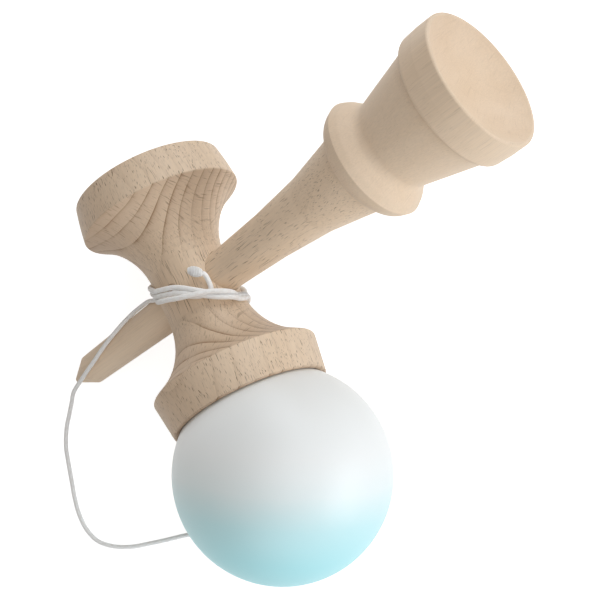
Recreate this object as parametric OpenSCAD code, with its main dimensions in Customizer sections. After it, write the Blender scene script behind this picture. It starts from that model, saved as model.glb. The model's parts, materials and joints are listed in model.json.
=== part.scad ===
// Cup and ball toy: a turned handle with a spike and a base cup, a spool-shaped crossbar
// with a cup at each end, and a ball on a cord that is wound round the crossbar's waist.
// The toy lies on a table with the ball in the big cup. Sizes are in millimetres.

/* [Ball] */
// Outside diameter of the ball
ball_d = 60; // [56:1:64]
// Diameter of the hole that takes the spike
hole_d = 20; // [16:0.5:22]
// Depth of the spike's hole, from the crown of the ball
hole_depth = 34; // [30:1:36]
// Diameter of the bead's pocket at the bottom of the spike's hole
pocket_d = 8.4; // [7:0.2:9]
// Depth of the bead's pocket
pocket_depth = 7; // [7:0.2:8]
// Angle between the spike's hole and the axis of the big cup
hole_tilt = 23; // [15:1:25]
// Turn of the spike's hole about the axis of the big cup
hole_turn = 32; // [20:1:40]
// Width of the bevel round the mouth of the spike's hole
hole_bevel = 0.6; // [0.3:0.1:1]
// Diameter of the cord's hole through the ball
eye_d = 3.2; // [2.4:0.1:4]
// Diameter of the countersink at the outer end of the cord's hole
eye_mouth_d = 9.4; // [7:0.2:10]

/* [Crossbar] */
// Diameter of the waist
waist_d = 22; // [20:0.1:24]
// From the handle's axis to the rim of the big cup
big_len = 36.5; // [35:0.1:39]
// From the handle's axis to the widest edge of the big cup
big_edge_at = 25.6; // [25:0.1:26.5]
// Diameter of the big cup at its widest edge
big_edge_d = 48.4; // [47.4:0.1:50]
// Outside diameter of the big cup's rim
big_rim_d = 45.4; // [44.6:0.1:46.4]
// Inside diameter of the big cup's rim
big_mouth_d = 42.9; // [41.5:0.1:43]
// Depth of the big cup
big_depth = 11; // [9:0.5:13]
// From the handle's axis to the rim of the small cup
small_len = 35.7; // [34:0.1:38]
// From the handle's axis to the widest edge of the small cup
small_edge_at = 25.5; // [25:0.1:26.5]
// Diameter of the small cup at its widest edge
small_edge_d = 46.6; // [45.6:0.1:48]
// Outside diameter of the small cup's rim
small_rim_d = 43.4; // [42.6:0.1:44.4]
// Inside diameter of the small cup's rim
small_mouth_d = 39.8; // [38:0.1:40.6]
// Depth of the small cup
small_depth = 10; // [8:0.5:12]
// Radius of the sweep from the waist out to a cup
sweep_r = 21.2; // [19:0.1:22]
// Radius on the widest edge of a cup
edge_round = 0.6; // [0.4:0.1:1.2]
// Diameter of the cord's hole through the waist and the handle
lock_d = 2.4; // [2:0.1:3]

/* [Handle] */
// From the crossbar's axis to the tip of the spike
spike_len = 51.8; // [50:0.1:54]
// Length of the point on the spike
point_len = 6.8; // [6:0.1:7.5]
// Diameter of the spike where its point begins
spike_d = 8.9; // [8.6:0.1:9.6]
// Diameter of the blunt end of the point
tip_d = 1.4; // [1:0.1:2]
// Diameter of the handle at the crossbar's axis
shaft_d = 11.5; // [11.2:0.1:11.9]
// From the crossbar's axis to the middle of the grip's swell
swell_at = 45.9; // [44:0.1:48]
// Diameter that the grip's two tapers meet at
swell_d = 15.9; // [15.2:0.1:16.6]
// Diameter of the shaft where it meets the collar
shank_d = 24.5; // [23.6:0.1:25.4]
// From the crossbar's axis to the arris of the collar
collar_at = 68.8; // [68:0.1:69.6]
// Diameter of the collar at its arris
collar_d = 34.6; // [33.6:0.1:35.4]
// Length of the collar on either side of its arris
collar_half = 5.9; // [5.6:0.1:6.6]
// Diameter of the neck beside the collar
neck_d = 25.8; // [24.8:0.1:26.6]
// Diameter of the neck beside the band of the base cup
flare_d = 36.7; // [35.6:0.1:37.6]
// Diameter of the band of the base cup
band_d = 40.9; // [40.2:0.1:42]
// Width of the band of the base cup
band_w = 10.8; // [9.6:0.1:12]
// Outside diameter of the base cup's rim
base_rim_d = 40.6; // [39.8:0.1:41]
// Inside diameter of the base cup's rim
base_mouth_d = 38.6; // [37:0.1:39]
// Depth of the base cup
base_depth = 9; // [7:0.5:11]
// From the crossbar's axis to the rim of the base cup
base_len = 106.4; // [104:0.1:110]

/* [Cord] */
// Diameter of the cord
cord_d = 1.2; // [1:0.1:1.3]
// Distance between two turns of the winding
wind_pitch = 1.94; // [1.94:0.02:2.1]
// How far the winding crosses from one side of the handle to the other
wind_swing = 8.1; // [8:0.1:8.6]
// Outside diameter of the bead that holds the cord in the ball
bead_d = 6.4; // [5:0.2:6.4]
// Height of the bead
bead_h = 3.6; // [3:0.2:3.8]
// Diameter of the knot on the bead
stop_d = 3.6; // [3:0.2:3.6]
// Diameter of the knot on the cord's free end
knot_d = 2.8; // [2.2:0.1:3.2]
// Length of the knot on the cord's free end
knot_len = 4; // [3:0.1:4.4]

/* [Hidden] */
$fn = 96;
// Step along a turned arc, in degrees
arc_step = 6;
// Room between a cord and the wood that it lies on
lay_gap = 0.15;
// Room between the ball and the rim of the big cup
seat_gap = 0.15;
// Room between the bead and the bottom of its pocket
bead_gap = 0.2;
// Length by which a cutter stands clear of what it cuts
over = 1;
beech = [0.78, 0.67, 0.55];
white = [0.93, 0.93, 0.91];
turquoise = [0.62, 0.86, 0.88];

ball_r = ball_d / 2;
cord_r = cord_d / 2;
waist_r = waist_d / 2;
hole_r = hole_d / 2;
hole_floor = ball_r - hole_depth;
pocket_floor = hole_floor - pocket_depth;
eye_r = eye_d / 2;
eye_mouth_r = eye_mouth_d / 2;
eye_depth = 4.4;
eye_end = 26;
// Radius of the long, faint curves in a turned outline
belly_r = 60;
swell_r = 165;
rim_round = 0.6;
lip_round = 0.5;
band_round = 1.2;
tip_round = 0.4;
point_round = 0.5;
foot_round = 1.5;
swell_drop = 1.3;
swell_round = 6;
arris_round = 0.4;
brow_drop = 1.05;
brow_round = 4.5;
neck_hollow = 3.5;

// A turned outline is a list of corners, each with its radius, its station and its rounding
function unit(v) = v / norm(v);
function flat(p) = [p[0], p[1]];
function wrapped(a) = a > 180 ? a - 360 : a < -180 ? a + 360 : a;
function round_half(a, b, c) = acos(unit(flat(a) - flat(b)) * unit(flat(c) - flat(b))) / 2;
function round_centre(a, b, c) =
    flat(b) + unit(unit(flat(a) - flat(b)) + unit(flat(c) - flat(b))) * b[2] / sin(round_half(a, b, c));
function arc(centre, r, from, turn) =
    let (steps = max(2, ceil(abs(turn) / arc_step)))
    [for (i = [0 : steps]) centre + r * [cos(from + turn * i / steps), sin(from + turn * i / steps)]];
function rounded_corner(a, b, c) =
    let (
        reach = b[2] / tan(round_half(a, b, c)),
        centre = round_centre(a, b, c),
        first = flat(b) + unit(flat(a) - flat(b)) * reach - centre,
        last = flat(b) + unit(flat(c) - flat(b)) * reach - centre,
        from = atan2(first[1], first[0]),
        turn = wrapped(atan2(last[1], last[0]) - from)
    )
    arc(centre, b[2], from, turn);
function rounded(v) =
    let (n = len(v))
    [
        for (i = [0 : n - 1])
            each (
                v[i][2] == undef
                    ? [flat(v[i])]
                    : rounded_corner(v[(i + n - 1) % n], v[i], v[(i + 1) % n])
            )
    ];
// A dish goes from its floor on the axis out to its lip, and opens towards side
function dish(lip_r, lip_at, depth, side) =
    let (
        r = (lip_r * lip_r + depth * depth) / (2 * depth),
        half = asin(lip_r / r),
        steps = ceil(half / (arc_step / 2))
    )
    [
        for (i = [0 : steps - 1])
            [r * sin(half * i / steps), lip_at - side * depth + side * r * (1 - cos(half * i / steps))]
    ];

// The crossbar's outline runs from the small cup's floor round to the big cup's floor
sweep_angle = 58;
small_foot = small_edge_at - (small_edge_d / 2 - waist_r) / tan(sweep_angle);
big_foot = big_edge_at - (big_edge_d / 2 - waist_r) / tan(sweep_angle);
small_swell = 0.2;
small_lip = [small_mouth_d / 2, small_len, lip_round];
small_rim = [small_rim_d / 2, small_len, rim_round];
small_belly = [(small_rim_d + small_edge_d) / 4 + small_swell, (small_len + small_edge_at) / 2, belly_r];
small_edge = [small_edge_d / 2, small_edge_at, edge_round];
small_waist = [waist_r, small_foot, sweep_r];
big_waist = [waist_r, -big_foot, sweep_r];
big_edge = [big_edge_d / 2, -big_edge_at, edge_round];
big_rim = [big_rim_d / 2, -big_len, rim_round];
big_lip = [big_mouth_d / 2, -big_len, lip_round];
big_dish = dish(big_mouth_d / 2, -big_len, big_depth, -1);
crossbar_outline = rounded(concat(
    dish(small_mouth_d / 2, small_len, small_depth, 1),
    [small_lip, small_rim, small_belly, small_edge, small_waist],
    [big_waist, big_edge, big_rim, big_lip],
    [for (i = [len(big_dish) - 1 : -1 : 0]) big_dish[i]]
));
// Radius of the waist at a distance from the handle's axis
sweep_reach = sweep_r * tan(sweep_angle / 2);
function swept(u) = u <= 0 ? 0 : sweep_r - sqrt(sweep_r * sweep_r - u * u);
function waist_at(y) =
    waist_r + swept(y - small_foot + sweep_reach) + swept(-y - big_foot + sweep_reach);

// The handle's outline runs from the tip of the spike to the floor of the base cup
point_at = spike_len - point_len;
taper = (shaft_d - spike_d) / 2 / point_at;
grip_at = 14;
function shaft_at(x) = shaft_d / 2 + taper * x;
// The collar swells out of the shank up to its arris, and falls through a hollow to the neck
collar_foot = [shank_d / 2, collar_at - collar_half, foot_round];
collar_swell = [collar_d / 2 - swell_drop, collar_at - 0.6 * collar_half, swell_round];
collar_arris = [collar_d / 2, collar_at, arris_round];
collar_brow = [collar_d / 2 - brow_drop, collar_at + collar_half / 3, brow_round];
neck_foot = [neck_d / 2, collar_at + collar_half, neck_hollow];
band_at = base_len - band_w;
tip_edge = [tip_d / 2, -spike_len, tip_round];
point_edge = [spike_d / 2, -point_at, point_round];
grip_start = [shaft_at(grip_at), grip_at, belly_r];
grip_swell = [swell_d / 2, swell_at, swell_r];
band_foot = [band_d / 2 - band_round / 2, band_at, band_round];
band_belly = [band_d / 2, band_at + band_w / 2, belly_r];
base_rim = [base_rim_d / 2, base_len, rim_round];
base_lip = [base_mouth_d / 2, base_len, lip_round / 2];
base_dish = dish(base_mouth_d / 2, base_len, base_depth, 1);
handle_outline = rounded(concat(
    [[0, -spike_len], tip_edge, point_edge, grip_start, grip_swell],
    [collar_foot, collar_swell, collar_arris, collar_brow, neck_foot],
    [[flare_d / 2, band_at], band_foot, band_belly, base_rim, base_lip],
    [for (i = [len(base_dish) - 1 : -1 : 0]) base_dish[i]]
));

// The toy lies on three points: the ball, the edge of the small cup and the spike's point
big_lip_centre = round_centre(big_rim, big_lip, big_dish[len(big_dish) - 1]);
small_edge_centre = round_centre(small_belly, small_edge, small_waist);
point_centre = round_centre(tip_edge, point_edge, grip_start);
seat_reach = ball_r + lip_round + seat_gap;
ball_at = -big_lip_centre[1] + sqrt(seat_reach * seat_reach - big_lip_centre[0] * big_lip_centre[0]);
cup_rise =
    asin((ball_r - edge_round) / norm([ball_at + small_edge_centre[1], small_edge_centre[0]]))
    - atan2(small_edge_centre[0], ball_at + small_edge_centre[1]);
axis_z = ball_r - ball_at * sin(cup_rise);
handle_rise =
    asin((axis_z - point_round) / norm(point_centre)) - atan2(point_centre[0], -point_centre[1]);
roll = asin(sin(cup_rise) / cos(handle_rise));
far_x = base_len * cos(handle_rise) + base_rim_d / 2 * sin(handle_rise);
near_x = -spike_len * cos(handle_rise) - tip_d / 2 * sin(handle_rise);
far_y = small_len * cos(roll) + small_rim_d / 2 * sin(roll);
near_y = -ball_at * cos(roll) - ball_r;
mid_x = (far_x + near_x) / 2;
mid_y = (far_y + near_y) / 2;

// From the toy's own frame, with x along the handle and y along the crossbar, to the table's
function about_x(p, a) = [p[0], p[1] * cos(a) - p[2] * sin(a), p[1] * sin(a) + p[2] * cos(a)];
function about_y(p, a) = [p[0] * cos(a) + p[2] * sin(a), p[1], p[2] * cos(a) - p[0] * sin(a)];
function laid_way(p) = about_y(about_x(p, -roll), -handle_rise);
function laid(p) = laid_way(p) + [-mid_x, -mid_y, axis_z];
module lay() {
    translate([-mid_x, -mid_y, axis_z])
        rotate([-roll, -handle_rise, 0])
            children();
}
// The ball's own frame has its spike hole along +z and turns up out of the big cup
module lay_ball() {
    lay()
        translate([0, -ball_at, 0])
            rotate([0, hole_turn, 0])
                rotate([hole_tilt - 90, 0, 0])
                    children();
}
function balled_way(p) = laid_way(about_y(about_x(p, hole_tilt - 90), hole_turn));
function balled(p) = balled_way(p) + laid([0, -ball_at, 0]);

// A cord is swept along a list of points, with its section carried round the bends
cord_sides = 8;
wind_sides = 6;
function ways(path) =
    let (n = len(path))
    [
        for (i = [0 : n - 1])
            unit(path[min(i + 1, n - 1)] - path[max(i - 1, 0)])
    ];
function square_to(v, way) = unit(v - way * (v * way));
function first_side(way) = square_to(abs(way[2]) < 0.8 ? [0, 0, 1] : [1, 0, 0], way);
function carried(way_list) =
    [
        for (
            i = 0, side = first_side(way_list[0]);
            i < len(way_list);
            i = i + 1, side = i < len(way_list) ? square_to(side, way_list[i]) : side
        )
            side
    ];
function ring(p, way, side, r, sides) =
    let (other = cross(way, side))
    [for (k = [0 : sides - 1]) p + r * (cos(360 * k / sides) * side + sin(360 * k / sides) * other)];
module cord_tube(path, first_way, last_way, sides) {
    n = len(path);
    free_ways = ways(path);
    way_list = [
        for (i = [0 : n - 1])
            i == 0 ? unit(first_way) : i == n - 1 ? unit(last_way) : free_ways[i]
    ];
    side_list = carried(way_list);
    points = [
        for (i = [0 : n - 1])
            each ring(path[i], way_list[i], side_list[i], cord_r, sides)
    ];
    walls = [
        for (i = [0 : n - 2], k = [0 : sides - 1])
            let (
                a = i * sides + k,
                b = i * sides + (k + 1) % sides
            )
            each [[a, a + sides, b], [b, a + sides, b + sides]]
    ];
    near_end = [for (k = [1 : sides - 2]) [0, k, k + 1]];
    last = (n - 1) * sides;
    far_end = [for (k = [1 : sides - 2]) [last, last + k + 1, last + k]];
    polyhedron(points = points, faces = concat(walls, near_end, far_end), convexity = 10);
}
// A smooth curve through hand-chosen points
function curve_point(a, b, c, d, t) =
    0.5 * (2 * b + (c - a) * t + (2 * a - 5 * b + 4 * c - d) * t * t + (3 * b - a - 3 * c + d) * t * t * t);
function curve(pts, steps) =
    let (n = len(pts))
    [
        for (i = [0 : n - 2], k = [0 : steps - 1])
            curve_point(pts[max(i - 1, 0)], pts[i], pts[i + 1], pts[min(i + 2, n - 1)], k / steps),
        pts[n - 1]
    ];
function least_bend(path) =
    min([
        for (i = [1 : len(path) - 2])
            let (
                a = norm(path[i] - path[i - 1]),
                b = norm(path[i + 1] - path[i]),
                c = norm(path[i + 1] - path[i - 1]),
                area = norm(cross(path[i] - path[i - 1], path[i + 1] - path[i - 1]))
            )
            area < 0.0001 ? 1000 : a * b * c / (2 * area)
    ]);
function length_of(path) =
    let (steps = [for (i = [1 : len(path) - 1]) norm(path[i] - path[i - 1])])
    steps * [for (s = steps) 1];

// The winding leaves the lock hole behind the waist, passes below the grip and above the
// spike, and is lifted where it lies over the tucked end of the cord
bend_r = 2 * cord_d;
bend_step = 22.5;
wind_r = waist_r + cord_r + lay_gap;
wind_mid = wind_swing - shaft_at(waist_r) - cord_d / 2 - 2 * lay_gap;
wind_fan = 0.3;
wind_back = wind_mid + wind_pitch * (1 + wind_fan) / 4;
wind_from = -79;
wind_to = 856;
wind_lift = cord_d + 2 * lay_gap;
lift_near = 0;
lift_far = 128;
lift_ramp = 22;
function eased(t) = let (u = min(1, max(0, t))) u * u * (3 - 2 * u);
function lift_at(a) =
    let (w = a - 360 * floor(a / 360))
    wind_lift * eased((w - lift_near) / lift_ramp) * eased((lift_far - w) / lift_ramp);
// A wave with straighter flanks than a cosine, as a taut cord crosses the waist
wind_flank = 0.1;
function wave(a) = (cos(a) + wind_flank * cos(3 * a)) / (1 + wind_flank);
function wind_y(a) =
    let (back = max(0, -sin(a)))
    wind_mid - wind_swing * wave(a) - wind_back * back * back
    - wind_pitch * a / 360 * (1 + wind_fan * back * back);
function on_waist(a, y, up) =
    let (r = waist_at(y) + cord_r + lay_gap + up)
    [r * cos(a), y, r * sin(a)];
function wind_point(a) = on_waist(a, wind_y(a), lift_at(a));
function wind_way(a) = unit(wind_point(a + 1) - wind_point(a - 1));
// A cord comes straight out of the lock hole and bends over onto the waist
wind_lead = unit([wind_way(wind_from)[0], wind_way(wind_from)[1], 0]);
tail_lead = [cos(50), -sin(50), 0];
function bend_from(lead) = sqrt(wind_r * wind_r - pow(bend_r * lead[0], 2)) - bend_r;
function out_of_hole(side, lead) =
    let (start = bend_from(lead))
    concat(
        [[0, 0, side * (start - cord_d)]],
        [
            for (a = [0 : bend_step : 90])
                [0, 0, side * (start + bend_r * sin(a))] + bend_r * (1 - cos(a)) * lead
        ]
    );
function winding(per_turn) =
    let (steps = round(per_turn * (wind_to - wind_from) / 360))
    concat(
        out_of_hole(-1, wind_lead),
        [for (i = [1 : steps]) wind_point(wind_from + (wind_to - wind_from) * i / steps)],
        [wind_point(wind_to) + cord_d * wind_way(wind_to)]
    );
wind_path = winding(24);
wind_fine = winding(96);
near_turn = 24;
wind_gap =
    min([
        for (i = [0 : len(wind_fine) - 1 - near_turn], k = [i + near_turn : len(wind_fine) - 1])
            norm(wind_fine[i] - wind_fine[k])
    ]) - cord_d;
wind_end = wind_path[len(wind_path) - 1];
echo(least_gap_of_winding = wind_gap, length_of_winding = length_of(wind_path));

// The tucked end: angle round the waist, place along it and height over the wood
tail_route = [
    [72, -4.5, 0], [61, -6.8, 0], [55, -7.5, 0], [48, -7.5, 0], [42, -6.9, 0], [38, -5.8, 0],
    [36.5, -4.9, 0], [35.7, -3.7, 0.1], [36.5, -2.7, 0.4], [39, -1.5, 0.8], [41.6, -0.9, 1.1], [44.6, -0.4, 1.3]
];
tail_bend = out_of_hole(1, tail_lead);
tail_start = len(tail_bend) - 1;
tail_path = concat(
    [for (i = [0 : tail_start - 1]) tail_bend[i]],
    curve(concat([tail_bend[tail_start]], [for (s = tail_route) on_waist(s[0], s[1], s[2])]), 2)
);
tail_end = tail_path[len(tail_path) - 1];
tail_way = unit(tail_end - tail_path[len(tail_path) - 2]);

// The free stretch: first along the spike, in the toy's frame, then over the table
// Along the spike each place is its station and its angle round the spike
spike_route = [
    [-11.5, 55], [-14.5, 37], [-18, 27], [-21.5, 32], [-25, 46], [-28.5, 59], [-32, 70],
    [-35.5, 82], [-39, 94], [-42.5, 104]
];
function on_spike(x, a) =
    let (r = shaft_at(x) + cord_r + lay_gap)
    [x, r * cos(a), r * sin(a)];
table_route = [
    [-72, 23, 7.4], [-76, 21.5, 5], [-78.5, 19.5, 2.5], [-81, 17, 1.1], [-83.5, 14, 0.7],
    [-86, 9.5, 0.7], [-87.5, 5, 0.7], [-89, 0, 0.7], [-90.5, -5, 0.7], [-91.5, -10, 0.7],
    [-91.5, -15, 0.7], [-90, -19.5, 0.7], [-86.5, -23, 0.7], [-82, -25.5, 0.7], [-77.5, -27, 0.7],
    [-72.5, -28.5, 0.7], [-67, -30, 0.7], [-62.5, -31.8, 0.9], [-58.8, -34, 1.9], [-55.4, -36.9, 3.7],
    [-52.2, -41, 5.9], [-49, -46.2, 8], [-45.6, -51.3, 10.2], [-41.9, -55.9, 12.8], [-37.8, -60, 16]
];
eye_way = balled_way([0, 0, -1]);
eye_start = balled([0, 0, -eye_end]);
eye_side = square_to(table_route[len(table_route) - 1] - balled([0, 0, -ball_r]), eye_way);
eye_bend = [
    for (a = [66 : -22 : 0])
        eye_start + eye_way * (cord_d + bend_r * sin(a)) + eye_side * bend_r * (1 - cos(a))
];
loop_way = laid_way(wind_way(wind_to));
loop_path = concat(
    curve(concat(
        [laid(wind_end)],
        [for (s = spike_route) laid(on_spike(s[0], s[1]))],
        table_route,
        [eye_bend[0]]
    ), 2),
    [for (i = [1 : len(eye_bend) - 1]) eye_bend[i]],
    [eye_start]
);
echo(length_of_loop = length_of(loop_path), least_bend_of_loop = least_bend(loop_path));
echo(least_bend_of_tail = least_bend(tail_path), rings_of_loop = len(loop_path));

module lock_hole() {
    translate([0, 0, -waist_d])
        cylinder(d = lock_d, h = 2 * waist_d);
}
// Eased mouth of the lock hole, for the cord to bend over
module lock_mouth() {
    mouth_depth = 1.2;
    mouth_r = lock_d / 2 + 0.75 * mouth_depth;
    translate([0, 0, waist_r - mouth_depth])
        cylinder(r1 = lock_d / 2, r2 = mouth_r, h = mouth_depth);
    translate([0, 0, waist_r])
        cylinder(r = mouth_r, h = over);
}

module handle() {
    color(beech)
        lay()
            difference() {
                rotate([0, 90, 0])
                    rotate_extrude()
                        polygon(handle_outline);
                lock_hole();
            }
}

// The hole for the handle, with an eased edge at each side
module handle_hole() {
    reach = waist_d;
    ease_at = 0.95 * waist_r;
    ease = 0.5;
    rotate([0, 90, 0])
        rotate_extrude()
            polygon([
                [0, -reach],
                [shaft_at(-ease_at) + ease * (reach - ease_at), -reach],
                [shaft_at(-ease_at), -ease_at],
                [shaft_at(ease_at), ease_at],
                [shaft_at(ease_at) + ease * (reach - ease_at), reach],
                [0, reach]
            ]);
}

module crossbar() {
    color(beech)
        lay()
            difference() {
                rotate([-90, 0, 0])
                    rotate_extrude()
                        polygon(crossbar_outline);
                handle_hole();
                lock_hole();
                lock_mouth();
                mirror([0, 0, 1])
                    lock_mouth();
            }
}

module ball() {
    mouth_at = sqrt(ball_r * ball_r - hole_r * hole_r);
    eye_at = sqrt(ball_r * ball_r - eye_mouth_r * eye_mouth_r);
    color(turquoise)
        lay_ball()
            difference() {
                sphere(r = ball_r);
                translate([0, 0, hole_floor])
                    cylinder(r = hole_r, h = ball_d);
                translate([0, 0, pocket_floor])
                    cylinder(d = pocket_d, h = pocket_depth + over);
                translate([0, 0, mouth_at - hole_bevel])
                    cylinder(r1 = hole_r, r2 = hole_r + 2 * hole_bevel, h = 2 * hole_bevel);
                translate([0, 0, -ball_d])
                    cylinder(r = eye_r, h = 2 * ball_d);
                translate([0, 0, -eye_at - over])
                    cylinder(r1 = eye_mouth_r + over * (eye_mouth_r - eye_r) / eye_depth,
                        r2 = eye_r, h = eye_depth + over);
            }
}

module swivel_bead() {
    bead_round = 1.2;
    bore_r = cord_r + lay_gap;
    color(beech)
        lay_ball()
            translate([0, 0, pocket_floor + bead_gap])
                rotate_extrude()
                    polygon(rounded([
                        [bore_r, 0],
                        [bead_d / 2, 0, bead_round],
                        [bead_d / 2, bead_h, bead_round],
                        [bore_r, bead_h]
                    ]));
}

module bead_knot() {
    knot_at = pocket_floor + bead_gap + bead_h;
    knot_h = 0.8 * stop_d;
    knot_round = 1.2;
    color(white)
        lay_ball()
            translate([0, 0, knot_at])
                rotate_extrude()
                    polygon(rounded([
                        [0, 0],
                        [stop_d / 2, 0, knot_round],
                        [stop_d / 2, knot_h, knot_round],
                        [0, knot_h]
                    ]));
}

module cord_in_ball() {
    top = pocket_floor + bead_gap + bead_h;
    color(white)
        lay_ball()
            translate([0, 0, -eye_end])
                cylinder(r = cord_r, h = top + eye_end);
}

module cord_loop() {
    color(white)
        cord_tube(loop_path, loop_way, -eye_way, cord_sides);
}

module cord_wrap() {
    color(white)
        lay()
            cord_tube(wind_path, [0, 0, -1], wind_way(wind_to), wind_sides);
}

module cord_lock() {
    back = bend_from(wind_lead) - cord_d;
    front = bend_from(tail_lead) - cord_d;
    color(white)
        lay()
            translate([0, 0, -back])
                cylinder(r = cord_r, h = back + front);
}

module cord_tail() {
    color(white)
        lay()
            cord_tube(tail_path, [0, 0, 1], tail_way, cord_sides);
}

module tail_knot() {
    knot_round = 1.1;
    pitch = acos(tail_way[2]);
    yaw = atan2(tail_way[1], tail_way[0]);
    color(white)
        lay()
            translate(tail_end)
                rotate([0, pitch, yaw])
                    rotate_extrude()
                        polygon(rounded([
                            [0, 0],
                            [knot_d / 2, 0, knot_round],
                            [knot_d / 2, knot_len, knot_round],
                            [0, knot_len]
                        ]));
}

handle();
crossbar();
ball();
swivel_bead();
bead_knot();
cord_in_ball();
cord_loop();
cord_wrap();
cord_lock();
cord_tail();
tail_knot();
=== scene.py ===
"""Dresses the cup and ball toy: beech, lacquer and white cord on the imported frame."""

import json
from math import ceil, cos, floor, pi, radians, sin, sqrt, tan

import bpy
from mathutils import Euler, Matrix, Vector


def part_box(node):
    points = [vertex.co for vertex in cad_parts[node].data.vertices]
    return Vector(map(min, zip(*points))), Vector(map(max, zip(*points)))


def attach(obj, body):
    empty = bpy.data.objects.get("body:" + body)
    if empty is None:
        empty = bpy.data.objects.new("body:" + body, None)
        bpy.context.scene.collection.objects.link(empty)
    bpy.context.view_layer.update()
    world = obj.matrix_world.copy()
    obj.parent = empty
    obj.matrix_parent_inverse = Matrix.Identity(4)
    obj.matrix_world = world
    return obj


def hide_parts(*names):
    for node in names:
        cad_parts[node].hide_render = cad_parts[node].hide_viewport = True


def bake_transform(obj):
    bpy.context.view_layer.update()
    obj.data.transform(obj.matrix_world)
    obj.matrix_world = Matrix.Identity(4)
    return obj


bl_info = {
    "name": "Cup and ball toy",
    "version": (1, 0, 0),
    "blender": (4, 5, 0),
    "location": "View3D > Sidebar > Toy",
    "description": "Gives a cup and ball toy its wood, lacquer and cord",
    "category": "Object",
}

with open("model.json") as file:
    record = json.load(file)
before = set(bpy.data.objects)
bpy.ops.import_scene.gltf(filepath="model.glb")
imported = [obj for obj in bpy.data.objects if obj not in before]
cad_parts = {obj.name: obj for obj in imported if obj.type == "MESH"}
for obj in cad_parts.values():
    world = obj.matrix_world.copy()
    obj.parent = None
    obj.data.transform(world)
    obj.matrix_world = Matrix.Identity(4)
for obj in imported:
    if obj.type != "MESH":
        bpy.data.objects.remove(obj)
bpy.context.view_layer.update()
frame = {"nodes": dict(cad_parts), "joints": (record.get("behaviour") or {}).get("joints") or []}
JOINTS = {joint["name"]: joint for joint in frame["joints"]}
MM = 0.001

# Where the toy lies. Its own frame has x along the handle towards the base cup, y along the
# crossbar towards the small cup, and z up out of both. Lengths below are in millimetres.
CROSSING = Vector((-28.6784, 24.9191, 25.2918))
LIE = Euler((radians(-5.3256), radians(-28.3623), 0)).to_matrix()
BALL_CENTRE = Vector(JOINTS["ball_spin"]["pos_m"]) / MM
BALL_R = 30.0
HOLE_WAY = Vector(JOINTS["ball_spin"]["axis"]).normalized()

# The turned wood that the cord lies on. Each cup's underside slopes down to the waist, and an arc
# sweeps the one into the other.
WAIST_R = 11.0
SWEEP_R = 21.2
SLOPE = radians(58)
SWEEP_REACH = SWEEP_R * tan(SLOPE / 2)
SMALL_CUP_R, SMALL_CUP_AT = 46.6 / 2, 25.5
BIG_CUP_R, BIG_CUP_AT = 48.4 / 2, 25.6
SMALL_FOOT = SMALL_CUP_AT - (SMALL_CUP_R - WAIST_R) / tan(SLOPE)
BIG_FOOT = BIG_CUP_AT - (BIG_CUP_R - WAIST_R) / tan(SLOPE)
SHAFT_R = 5.75
SHAFT_TAPER = 1.3 / 45

# How the cord is drawn: its gaps to the wood and to a strand that it crosses, how much thicker the
# slack yarn of the winding is, its tightest bend in radii, and its faces round
LAY_GAP = 0.15
CROSS_GAP = 0.3
WOUND_SWELL = 1.2
BEND_RADII = 4
CORD_SIDES = 12
KNOT_TURNS = 6
KNOT_POINTS = 96
# Where the free cord ends inside the ball's eye
EYE_START = BALL_CENTRE - HOLE_WAY * 26

# Places of the free cord, as in the part's source: along the spike its station and its angle
# round the spike, then points over the table
SPIKE_ROUTE = (
    (-11.5, 55), (-14.5, 37), (-18, 27), (-21.5, 32), (-25, 46), (-28.5, 59), (-32, 70),
    (-35.5, 82), (-39, 94), (-42.5, 104),
)
TABLE_ROUTE = (
    (-72, 23, 7.4), (-76, 21.5, 5), (-78.5, 19.5, 2.5), (-81, 17, 1.1), (-83.5, 14, 0.7),
    (-86, 9.5, 0.7), (-87.5, 5, 0.7), (-89, 0, 0.7), (-90.5, -5, 0.7), (-91.5, -10, 0.7),
    (-91.5, -15, 0.7), (-90, -19.5, 0.7), (-86.5, -23, 0.7), (-82, -25.5, 0.7), (-77.5, -27, 0.7),
    (-72.5, -28.5, 0.7), (-67, -30, 0.7), (-62.5, -31.8, 0.9), (-58.8, -34, 1.9), (-55.4, -36.9, 3.7),
    (-52.2, -41, 5.9), (-49, -46.2, 8), (-45.6, -51.3, 10.2), (-41.9, -55.9, 12.8), (-37.8, -60, 16),
)

# The tucked end: angle round the waist, place along it and height over the wood
TAIL_ROUTE = (
    (76, -2.6, 0), (67, -4.3, 0), (58, -5.3, 0), (50, -5.7, 0), (43, -5.6, 0), (38.4, -4.9, 0.1),
    (37.2, -3.8, 0.3), (37.4, -2.6, 0.6), (38, -1.4, 0.9), (39.6, -0.5, 1.2), (42.4, 0, 1.3),
)
TAIL_LEAD = radians(50)

# Sizes of the beech's patterns, along the grain and twice across it
STREAK_MM = (60, 9, 9)
FIBRE_MM = (14, 0.35, 0.35)
# Growth rings waver by so much over so far, and curve a little along the grain
WAVER_MM = (40, 24, 24)
WAVER_BY = 3.0
RING_TAPER = 0.12
# Rays bend by so much over so far. A dash is sized out from the pith and round it, and a fine line
# along the grain, out from the pith and round it.
BEND_MM = (6, 6, 6)
BEND_BY = 1.2
DASH_MM = (0.26, 0.16)
LINE_MM = (2, 5, 0.22)

# The camera: its axes, its place and what it looks at. The lamps stand about the same axes.
VIEW_RIGHT = Vector((0.87291, -0.46502, -0.14758))
VIEW_UP = Vector((0.48481, 0.86067, 0.1556))
VIEW_BACK = VIEW_RIGHT.cross(VIEW_UP)
CAMERA_AT = Vector((27.101, -112.782, 596.374)) * MM
AIM = Vector((-5.117, 9.446, 20.688)) * MM
LAMP_REACH = 0.9
LAMP_SIZE = 0.8
FLOOR_SIZE = 6


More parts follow.
